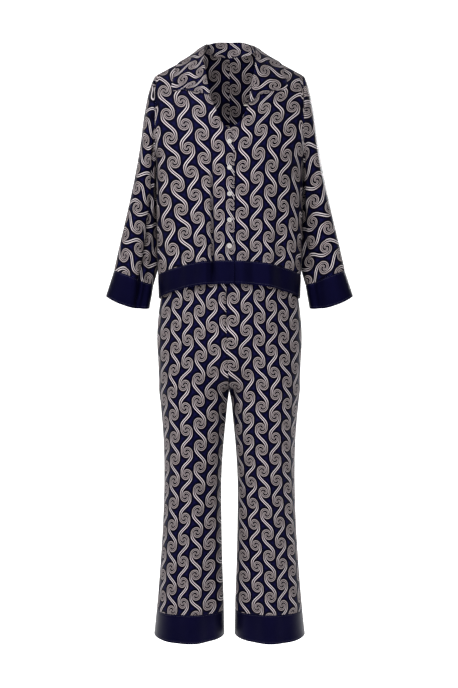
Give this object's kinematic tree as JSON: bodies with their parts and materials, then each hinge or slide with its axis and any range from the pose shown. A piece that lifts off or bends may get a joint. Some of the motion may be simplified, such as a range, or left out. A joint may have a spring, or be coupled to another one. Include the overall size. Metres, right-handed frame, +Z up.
{
  "type": "pyjama set",
  "caption": "Hollow cloth pyjama set, filled out as if worn: a long-sleeved buttoned shirt with a camp collar over straight trousers, with plain bands at the cuffs and hems.",
  "frame": {"origin": "midway between the two shoulders, level with the middle of the shoulder seams, where a wearer's shoulders hold the set", "axes": "+Z up, the front faces -Y, the wearer's left is at +X"},
  "size_m": [0.615, 0.2408, 1.5025],
  "materials": {
    "printed_cloth": "soft satin weave, navy with a taupe and cream running spiral",
    "navy_cloth": "soft satin weave, plain navy",
    "pearl": "pearly gloss"
  },
  "bodies": {
    "root": {"shirt_front_right": "printed_cloth", "shirt_front_left": "printed_cloth", "shirt_back_right": "printed_cloth", "shirt_back_left": "printed_cloth", "collar": "printed_cloth", "sleeve_right": "printed_cloth", "sleeve_left": "printed_cloth", "trouser_front_right": "printed_cloth", "trouser_front_left": "printed_cloth", "trouser_back_right": "printed_cloth", "trouser_back_left": "printed_cloth", "waistband": "printed_cloth", "hem_band_front_right": "navy_cloth", "hem_band_front_left": "navy_cloth", "hem_band_back": "navy_cloth", "cuff_right": "navy_cloth", "cuff_left": "navy_cloth", "leg_band_right": "navy_cloth", "leg_band_left": "navy_cloth", "button_1": "pearl", "button_2": "pearl", "button_3": "pearl", "button_4": "pearl", "button_5": "pearl", "button_top": "pearl"}
  },
  "joints": []
}
